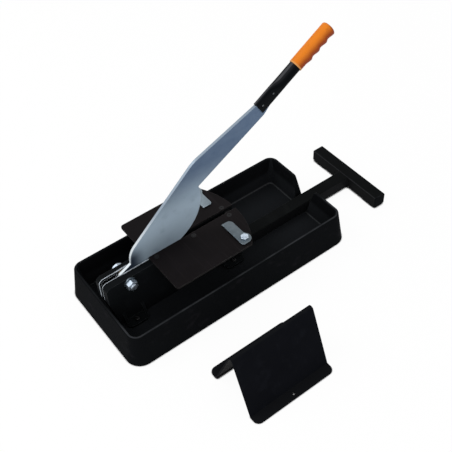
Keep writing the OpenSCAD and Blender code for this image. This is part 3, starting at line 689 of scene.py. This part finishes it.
class CutterSizes(PropertyGroup):
    """Sizes of the drawn detail, and of the tray where its finish changes."""

    basin_x: length_of("Tray inside X", "Half the inside length of the tray", 226.5)
    basin_y: length_of("Tray inside Y", "Half the inside width of the tray", 97.5)
    pitch: length_of("Thread pitch", "Pitch of the bolts' threads", 1.5)
    thread_l: length_of("Thread length", "Length of the bolts' threaded ends", 7)
    recess: length_of("Recess depth", "Depth of the screws' cross recess", 1.2)
    weld: length_of("Weld radius", "Radius of the weld beads on the T foot", 1.8)
    ripple: length_of("Weld ripple", "Distance between the ripples of a bead", 2.4)
    tube_x: length_of("Tube start X", "Lower end of the handle tube from the pivot, along X", 299.5)
    tube_z: length_of("Tube start Z", "Lower end of the handle tube from the pivot, along Z", 213.6)
    tube_slope: FloatProperty(name="Handle slope", description="Slope of the handle", subtype="ANGLE",
                              default=math.radians(32))
    tube_d: length_of("Tube diameter", "Outside diameter of the handle tube", 21.5)
    tube_wall: length_of("Tube wall", "Wall of the handle tube", 2.0)
    flat_t: length_of("Flat thickness", "Thickness of the tube's flattened end", 9.2)
    flat_h: length_of("Flat height", "Height of the tube's flattened end", 30)
    press_from: length_of("Press start", "Where the flattened end begins to turn round", 33)
    press_to: length_of("Press end", "Where the tube is round", 60)
    tube_l: length_of("Tube length", "Length of the handle tube", 165.5)
    slit_l: length_of("Slit length", "Length of the slit for the blade's arm", 28.1)
    stop_w: length_of("Stop width", "Width of the fence stops before their lugs", 19.5)
    stop_corner: length_of("Stop corner", "Radius of the near stop's inner corner", 9)
    stop_far_corner: length_of("Far stop corner", "Radius of the far stop's inner corner", 5)
    stop_neck: length_of("Stop neck", "Radius between a stop and its lug", 12)
    stop_front: length_of("Stop end", "Radius of the stops' outer corners", 5)
    stop_bore: length_of("Stop bore", "Bolt hole in the stops", 8.1)
    blade_t: length_of("Blade thickness", "Thickness of the blade", 5.0)
    grip_from: length_of("Grip start", "Lower end of the grip along the tube", 93.5)
    grip_l: length_of("Grip length", "Length of the grip", 86)
    grip_r: length_of("Grip radius", "Radius of the grip's upper side", 12.15)
    grip_end: length_of("Grip end", "Rounding of the grip's end", 4.5)
    bump_in: length_of("First bump", "First finger bump from the grip's lower end", 26)
    bump_pitch: length_of("Bump pitch", "Distance between finger bumps", 18.7)
    bump_h: length_of("Bump height", "Height of the finger bumps", 3.0)


class CutterStage(PropertyGroup):
    """Camera, lamps and floor."""

    camera_at: place_of("Camera", "Place of the camera", (-0.51824, -0.81552, 1.14504))
    camera_turn: FloatVectorProperty(name="Camera turn", description="Rotation of the camera",
                                     subtype="EULER", default=(0.74480, 0.04172, -0.64483))
    lens: FloatProperty(name="Lens", description="Focal length in millimetres", default=62.329)
    key: FloatProperty(name="Key lamp", description="Power of the key lamp in watts", default=26.0)
    key_at: place_of("Key lamp place", "Place of the key lamp", (-1.5, 1.1, 2.3))
    key_d: length_of("Key lamp diameter", "Diameter of the key lamp", 1500)
    fill: FloatProperty(name="Fill lamp", description="Power of the fill lamp in watts", default=14.0)
    fill_at: place_of("Fill lamp place", "Place of the fill lamp", (-1.0, -2.0, 1.5))
    fill_d: length_of("Fill lamp diameter", "Diameter of the fill lamp", 2000)
    aim: place_of("Lamp aim", "Where the lamps point", (0, 0, 0.1))
    floor_r: length_of("Floor radius", "Radius of the floor", 9000)
    ambient: FloatProperty(name="Ambient", description="Strength of the white surround", default=0.78)
    glow: FloatProperty(name="Floor white", description="Share of the floor that shows as plain white",
                        subtype="FACTOR", default=0.95)


class CUTTER_OT_stage(Operator):
    """Make the floor, the white surround, the lamps and the camera."""

    bl_idname = "cutter.stage"
    bl_label = "Stage"

    def execute(self, context):
        stage = context.scene.cutter_stage
        self.floor(context, stage.floor_r, stage.glow)
        self.surround(context, stage.ambient)
        self.lamp(context, "key_lamp", stage.key_at, stage.aim, stage.key_d, stage.key)
        self.lamp(context, "fill_lamp", stage.fill_at, stage.aim, stage.fill_d, stage.fill)
        data = bpy.data.cameras.new("camera")
        data.sensor_width = 36
        data.lens = stage.lens
        data.clip_end = 50
        camera = bpy.data.objects.new("camera", data)
        camera.location = stage.camera_at
        camera.rotation_euler = stage.camera_turn
        context.scene.collection.objects.link(camera)
        context.scene.camera = camera
        context.scene.view_settings.view_transform = "Standard"
        return {"FINISHED"}

    def floor(self, context, radius, share):
        """White paper with painted contact shade close under the pieces that stand on it."""
        finish = Finish("floor_white")
        corner = finish.node("ShaderNodeAmbientOcclusion", {"samples": 8}, {"Distance": 6 * MM}, out="AO")
        clear = finish.fade(corner, 0.5, 0.8)
        # Painted contact shade: the paper darkens where nearby pieces hide it, and shows less of the white
        # glow there.
        shaded = finish.mix(clear, FLOOR_CONTACT_SHADE, FLOOR_PAPER)
        sockets = {"Base Color": shaded, "Roughness": 1.0, "Specular IOR Level": 0.0}
        paper = finish.node("ShaderNodeBsdfPrincipled", None, sockets)
        glow = finish.node("ShaderNodeEmission", None, {"Color": WHITE, "Strength": 1.0})
        shown = finish.seen() * clear * share
        surface = finish.node("ShaderNodeMixShader", None, {0: shown, 1: paper, 2: glow})
        finish.node("ShaderNodeOutputMaterial", None, {"Surface": surface})
        bm = bmesh.new()
        bmesh.ops.create_circle(bm, cap_ends=True, segments=64, radius=radius)
        mesh = bpy.data.meshes.new("floor")
        bm.to_mesh(mesh)
        bm.free()
        mesh.materials.append(finish.material)
        made = bpy.data.objects.new("floor", mesh)
        made.location.z = -FLOOR_DROP
        context.scene.collection.objects.link(made)

    def surround(self, context, ambient):
        """A world that lights the object softly and shows as white."""
        world = bpy.data.worlds.new("surround")
        world.use_nodes = True
        context.scene.world = world
        sky = Nodes(world.node_tree)
        light = sky.node("ShaderNodeBackground", None, {"Color": WHITE, "Strength": ambient})
        white = sky.node("ShaderNodeBackground", None, {"Color": WHITE, "Strength": 1.0})
        mixed = sky.node("ShaderNodeMixShader", None, {0: sky.seen(), 1: light, 2: white})
        sky.node("ShaderNodeOutputWorld", None, {"Surface": mixed})

    def lamp(self, context, name, place, aim, size, power):
        """A round soft lamp that points at its aim."""
        data = bpy.data.lights.new(name, "AREA")
        data.shape = "DISK"
        data.size = size
        data.energy = power
        made = bpy.data.objects.new(name, data)
        made.location = place
        made.rotation_euler = (aim - place).to_track_quat("-Z", "Y").to_euler()
        context.scene.collection.objects.link(made)


class CUTTER_OT_tray(Operator):
    """Finish the tray and the cross tube's caps in moulded plastic."""

    bl_idname = "cutter.tray"
    bl_label = "Tray"

    def execute(self, context):
        colours = context.scene.cutter_colours
        sizes = context.scene.cutter_sizes
        rim_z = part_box("base_tray")[1].z
        plastic = moulded_plastic("tray_plastic", tuple(colours.tray), sizes.basin_x, sizes.basin_y, rim_z)
        dress(plastic, "base_tray", "cross_caps")
        return {"FINISHED"}


class CUTTER_OT_frames(Operator):
    """Powder coat the half frames and the T foot, finish its pads and lay the weld beads."""

    bl_idname = "cutter.frames"
    bl_label = "Frames and T foot"

    def execute(self, context):
        colours = context.scene.cutter_colours
        sizes = context.scene.cutter_sizes
        near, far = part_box("frame_near"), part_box("frame_far")
        slot_edges = (near[1].y, far[0].y)
        knee = 0.6 * near[1].z
        blade_x = middle(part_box("pivot_bolt")).x - 15 * MM
        table_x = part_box("table_near")[0].x
        slot = (slot_edges, knee, blade_x, table_x)
        coat = powder_coat("frame_coat", tuple(colours.coat), 0.38, 0.008, slot=slot)
        dress(coat, "frame_near", "frame_far")
        # Painted light on the T foot: its end and its shaded near side lightened, and painted highlights
        # along its upper edges.
        painted_light = [((-1, 0, 0), 0.8, 1.0, FOOT_END_LIGHT), (FRONT, 0.8, 1.0, FOOT_SIDE_LIGHT)]
        painted_light += [(way, 0.93, 0.985, FOOT_EDGE_HIGHLIGHT) for way in ((-1, 0, 1), (0, 1, 1), (1, 0, 1))]
        coat = powder_coat("foot_coat", tuple(colours.foot), 0.36, 0.006, painted_light=painted_light)
        dress(coat, "stem_tube", "cross_tube")
        dress(moulded_rubber("pad_rubber", tuple(colours.rubber)), "foot_pads")
        bm = bmesh.new()
        low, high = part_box("stem_tube")
        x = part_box("cross_tube")[0].x
        for y in (low.y, high.y):
            self.bead(bm, Vector((x, y, low.z)), Vector((x, y, high.z)), sizes.weld, sizes.ripple)
        piece("stem_welds", bm, coat, "base", "black_paint")
        return {"FINISHED"}

    def bead(self, bm, start, end, radius, ripple):
        """Rippled weld bead between two points, drawn in at its ends."""
        length = (end - start).length
        rings_per_ripple = 8
        count = int(length / ripple * rings_per_ripple)
        rings = []
        for i in range(count + 1):
            z = length * i / count
            wave = 1 + 0.13 * abs(math.sin(math.pi * z / ripple))
            taper = math.sqrt(max(0.05, 1 - (2 * i / count - 1) ** 16))
            rings.append(even(radius * wave * taper, z))
        skin(bm, along(end - start, start), turned(rings, BEAD_POINTS))


class CUTTER_OT_table(Operator):
    """Paint the table plates and make the pressed, plated fence stops."""

    bl_idname = "cutter.table"
    bl_label = "Table and fence stops"

    def execute(self, context):
        colours = context.scene.cutter_colours
        dress(table_coat("table_coat", tuple(colours.table)), "table_near", "table_far")
        sizes = context.scene.cutter_sizes
        finish = plated_steel("near_stop_zinc", tuple(colours.zinc), 0.26, (12, 1, 1), 1.5)
        self.stop("fence_near", "near_stop", -1, sizes.stop_corner, sizes, finish)
        # Painted light: the far stop takes a lighter copy of the same zinc, as it catches more light.
        finish = plated_steel("far_stop_lit_zinc", shade(colours.zinc, 1.7), 0.26, (12, 1, 1), 1.5)
        self.stop("fence_far", "far_stop", 1, sizes.stop_far_corner, sizes, finish)
        return {"FINISHED"}

    def stop(self, node, body, side, corner, sizes, finish):
        """Pressed stop: a narrow neck before the bolt's lug, soft upper edges and a bolt hole."""
        low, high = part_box(node)
        inner = min(side * low.y, side * high.y)
        bolt_at = next(middle(b) for b in solids_of("fence_bolts") if side * b[0].y > 0)
        lug = Vector((bolt_at.x, side * bolt_at.y))
        lug_r = high.x - lug.x
        back = low.x + sizes.stop_w
        neck_r, front_r = sizes.stop_neck, sizes.stop_front
        neck = Vector((back + neck_r, 0))
        neck.y = lug.y - math.sqrt((lug_r + neck_r) ** 2 - (neck.x - lug.x) ** 2)
        meet = math.degrees(math.atan2(neck.y - lug.y, neck.x - lug.x))
        outline = [(low.x, inner)]
        outline += sweep((back - corner, inner + corner), corner, -90, 0)
        outline += sweep(neck, neck_r, 180, 180 + meet)
        outline += sweep(lug, lug_r, meet, 90)
        outline += sweep((low.x + front_r, lug.y + lug_r - front_r), front_r, 90, 180)
        soft = 0.5 * MM
        layers = ((0.4 * soft, low.z), (0, low.z + 0.4 * soft), (0, high.z - soft),
                  (0.3 * soft, high.z - 0.3 * soft), (soft, high.z))
        bore = [lug + (Vector(p) - lug).normalized() * sizes.stop_bore / 2 for p in outline]
        sections = [[(x, y, z) for x, y in shrunk(outline, inset)] for inset, z in layers]
        sections = [[(*p, low.z) for p in bore], *sections, [(*p, high.z) for p in bore]]
        bm = bmesh.new()
        skin(bm, Matrix.Diagonal((1, side, 1, 1)), sections, ring=True)
        piece(node + "_pressed", bm, finish, body, "zinc", node)


class CUTTER_OT_fasteners(Operator):
    """Make the bolts, nuts and screws with chamfers, threads and recesses; finish washer, sleeve and bush."""

    bl_idname = "cutter.fasteners"
    bl_label = "Fasteners"

    def execute(self, context):
        colours = context.scene.cutter_colours
        sizes = context.scene.cutter_sizes
        zinc = plated_steel("nut_zinc", tuple(colours.zinc), 0.24)
        bright = plated_steel("bright_steel", tuple(colours.bright), 0.16)
        satin = plated_steel("satin_steel", shade(colours.bright, 0.7), 0.32)
        dull = plated_steel("dull_steel", tuple(colours.dull), 0.36)
        dress(zinc, "pivot_washer")
        dress(dull, "stop_sleeve")
        dress(turned_bronze("bush_bronze", tuple(colours.bronze)), "pivot_bush")
        self.bolts("pivot_bolt", BACK, M12, sizes, satin, "bright_steel")
        self.nuts("pivot_nut", BACK, M12, satin)
        self.bolts("stop_bolt", BACK, M8, sizes, zinc, "zinc")
        self.nuts("stop_nut", BACK, M8, zinc)
        self.bolts("stem_bolts", FRONT, M6, sizes, zinc, "zinc")
        self.nuts("stem_nuts", BACK, M6, zinc)
        self.bolts("fence_bolts", UP, M8_LOW, sizes, bright, "bright_steel")
        self.nuts("fence_nuts", UP, M8, zinc)
        self.screws("frame_screws", PAN_HEIGHT, PAN_HEAD, dull, sizes.recess)
        self.screws("table_screws", SUNK_HEIGHT, SUNK_HEAD, dull, sizes.recess)
        return {"FINISHED"}

    def bolts(self, node, axis, size, sizes, finish, slot):
        """Bolts in place of a node's solids, heads at the far end of the axis."""
        bm = bmesh.new()
        way = Vector(axis)
        for box in solids_of(node):
            low, high = sorted(corner.dot(way) for corner in box)
            seat = high - size.head
            place = along(axis, seated(box, way, seat))
            bolt(bm, place, size, seat - low, sizes.pitch, sizes.thread_l)
        piece(node + "_threaded", bm, finish, "base", slot, node)

    def nuts(self, node, axis, size, finish):
        """Nuts in place of a node's solids."""
        bm = bmesh.new()
        way = Vector(axis)
        for box in solids_of(node):
            low, high = sorted(corner.dot(way) for corner in box)
            nut(bm, along(axis, seated(box, way, low)), size, high - low)
        piece(node + "_chamfered", bm, finish, "base", "zinc", node)

    def screws(self, node, height, profile, finish, recess):
        """Screws in place of a node's solids, their heads turned to a profile."""
        bm = bmesh.new()
        for box in solids_of(node):
            low, high = box
            radius = (high.x - low.x) / 2
            seat = high.z - height
            rings = [even(radius * wide, height * tall) for wide, tall in profile]
            at = seated(box, Vector(UP), seat)
            screw(bm, Matrix.Translation(at), rings, radius, recess, seat - low.z)
        piece(node + "_recessed", bm, finish, "base", "zinc", node)


class CUTTER_OT_lever(Operator):
    """Finish the blade; draw the handle tube flat round its arm, dome its rivets and mould the grip."""

    bl_idname = "cutter.lever"
    bl_label = "Blade and handle"

    def execute(self, context):
        colours = context.scene.cutter_colours
        sizes = context.scene.cutter_sizes
        low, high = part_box("blade")
        tall = high.z - low.z
        blued_from = low.z + 0.36 * tall
        blued_to = low.z + 0.70 * tall
        steel = blade_steel("blade_steel", tuple(colours.blade), tuple(colours.arm), blued_from, blued_to,
                            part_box("table_near")[0].x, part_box("frame_near")[1].z)
        dress(steel, "blade")
        # Painted reflection along the tube's upper side and a painted highlight along its crest.
        upper = ((-0.51, -0.23, 0.825), 0.86, 1.0, TUBE_UPPER_REFLECTION)
        crest_highlight = ((-0.53, 0.03, 0.846), 0.945, 0.99, TUBE_CREST_HIGHLIGHT)
        coat = powder_coat("handle_coat", tuple(colours.tube), 0.26, 0.02, painted_light=[upper, crest_highlight])
        # Painted glints on the rivet domes.
        crown_glints = [((-0.25, way, 0.35), 0.90, 1.0, RIVET_GLINT) for way in (-0.9, 0.9)]
        domes = powder_coat("rivet_coat", tuple(colours.tube), 0.3, 0.02, painted_light=crown_glints)
        place = self.handle(sizes)
        self.tube(place, sizes, coat)
        self.rivets(domes)
        way = place.to_3x3() @ Vector(UP)
        lip = way.dot(place @ Vector((0, 0, sizes.grip_from)))
        vinyl = moulded_vinyl("grip_vinyl", tuple(colours.grip), tuple(colours.grip_shaded), way, lip)
        self.grip(place, sizes, vinyl)
        return {"FINISHED"}

    def handle(self, sizes):
        """Placing matrix of the handle: Z along its axis, X towards its lower side."""
        pivot = next(Vector(j["pos_m"]) for j in frame["joints"] if j["name"] == "blade_hinge")
        start = pivot + Vector((sizes.tube_x, 0, sizes.tube_z))
        c, s = math.cos(sizes.tube_slope), math.sin(sizes.tube_slope)
        turn = Matrix(((s, 0, c), (0, 1, 0), (-c, 0, s)))
        return Matrix.Translation(start) @ turn.to_4x4()

    def tube(self, place, sizes, finish):
        """Tube pressed flat at its lower end, bored through and slit for the arm."""
        past_end = 1 * MM
        count = 60
        outside, bore = [], []
        for i in range(count + 1):
            z = sizes.tube_l * i / count
            share = smooth((z - sizes.press_from) / (sizes.press_to - sizes.press_from))
            half = (sizes.flat_t + (sizes.tube_d - sizes.flat_t) * share) / 2
            tall = (sizes.flat_h + (sizes.tube_d - sizes.flat_h) * share) / 2
            outside.append(pressed(tall - half, half, z))
            over = {0: -past_end, count: past_end}.get(i, 0.0)
            bore.append(pressed(tall - half, half - sizes.tube_wall, z + over))
        body, hollow, slit = bmesh.new(), bmesh.new(), bmesh.new()
        skin(body, place, outside)
        skin(hollow, place, bore)
        half = sizes.blade_t / 2 + SLACK
        corners = ((0, -half), (sizes.flat_h, -half), (sizes.flat_h, half), (0, half))
        skin(slit, place, [[(x, y, z) for x, y in corners] for z in (-past_end, sizes.slit_l)])
        drawn = cut_away(body, hollow, slit)
        piece("handle_tube_drawn", drawn, finish, "lever", "black_paint", "handle_tube")

    def rivets(self, finish):
        """Domed rivet heads on both sides of the flattened tube."""
        bm = bmesh.new()
        dome = 1.2 * MM
        sunk = 2 * MM
        steps = 7
        for low, high in solids_of("handle_rivets"):
            radius = (high.x - low.x) / 2
            seat = (high.y - low.y) / 2 - dome
            at = Vector(((low.x + high.x) / 2, 0, (low.z + high.z) / 2))
            rings = [even(0.7 * radius, -sunk)]
            for i in range(steps):
                a = math.pi / 2 * i / steps
                rings.append(even(radius * math.cos(a), seat + dome * math.sin(a)))
            for way in (FRONT, BACK):
                skin(bm, along(way, at), turned(rings, SHANK_POINTS))
        piece("handle_rivets_domed", bm, finish, "lever", "black_paint", "handle_rivets")

    def grip(self, place, sizes, finish):
        """Sleeve with finger bumps that rise towards the handle's end, a rolled lip and a rounded end."""
        length, end = sizes.grip_l, sizes.grip_end
        lip, roll, roll_l = 1.2 * MM, 0.35 * MM, 2.2 * MM
        rise = 0.7
        bore = sizes.tube_d / 2 + SLACK
        deep = sizes.tube_l - sizes.grip_from + 2 * SLACK

        def swell(z):
            """Height of the bumps at a distance along the grip."""
            place_in = (z - sizes.bump_in) / sizes.bump_pitch
            last = (length - sizes.bump_in) / sizes.bump_pitch
            if place_in < -rise or place_in > last:
                return 0.0
            part = (place_in + rise) % 1.0
            return sizes.bump_h * smooth(part / rise if part < rise else (1 - part) / (1 - rise))

        def ring(z):
            """Ring of the sleeve: rolled at its lip, bumped below, rounded off at its end."""
            inset = max(0.0, z - (length - end))
            round_off = end - math.sqrt(max(0.0, end * end - inset * inset))
            rolled = roll * smooth((roll_l - z) / MM) - 0.5 * lip * max(0.0, 1 - z / lip) ** 2

            def at(a):
                low_side = (0.5 + 0.5 * math.cos(a)) ** 2
                return sizes.grip_r + rolled - round_off + swell(z) * low_side, z
            return at

        count = 150
        rings = [even(bore, deep), even(bore, 0.0)]
        rings += [ring(length * i / count) for i in range(count)] + [ring(length - 0.02 * end)]
        bm = bmesh.new()
        skin(bm, place @ Matrix.Translation((0, 0, sizes.grip_from)), turned(rings, GRIP_POINTS))
        piece("handle_grip_moulded", bm, finish, "lever", "orange_grip", "handle_grip")


class CUTTER_OT_stand(Operator):
    """Powder coat the loose stand, with painted light on its upward faces and painted shade on its
    undersides.
    """

    bl_idname = "cutter.stand"
    bl_label = "Loose stand"

    def execute(self, context):
        colours = context.scene.cutter_colours
        # Painted light on upward faces and painted shade on faces turned down.
        painted_light = [(UP, 0.8, 0.98, STAND_TOP_LIGHT), (DOWN, 0.1, 0.5, STAND_UNDER_SHADE)]
        coat = powder_coat("stand_coat", tuple(colours.stand), 0.4, 0.002, scuffed=0.05, painted_light=painted_light)
        dress(coat, "plank_stand")
        return {"FINISHED"}


class CUTTER_PT_panel(Panel):
    """Sidebar panel with the cutter's values and steps."""

    bl_idname = "CUTTER_PT_panel"
    bl_label = "Laminate cutter"
    bl_space_type = "VIEW_3D"
    bl_region_type = "UI"
    bl_category = "Cutter"

    def draw(self, context):
        for name, kind in GROUPS.items():
            column = self.layout.column()
            for value in kind.__annotations__:
                column.prop(getattr(context.scene, name), value)
        for step in STEPS:
            self.layout.operator(step.bl_idname)


STEPS = (CUTTER_OT_stage, CUTTER_OT_tray, CUTTER_OT_frames, CUTTER_OT_table, CUTTER_OT_fasteners,
         CUTTER_OT_lever, CUTTER_OT_stand)
GROUPS = {"cutter_colours": CutterColours, "cutter_sizes": CutterSizes, "cutter_stage": CutterStage}


def register():
    for group in GROUPS.values():
        bpy.utils.register_class(group)
    for name, group in GROUPS.items():
        setattr(bpy.types.Scene, name, PointerProperty(type=group))
    for made in (*STEPS, CUTTER_PT_panel):
        bpy.utils.register_class(made)


def unregister():
    for made in (CUTTER_PT_panel, *reversed(STEPS)):
        bpy.utils.unregister_class(made)
    for name, group in reversed(GROUPS.items()):
        delattr(bpy.types.Scene, name)
        bpy.utils.unregister_class(group)


def main():
    register()
    for step in STEPS:
        family, name = step.bl_idname.split(".")
        getattr(getattr(bpy.ops, family), name)()


if __name__ == "__main__":
    main()
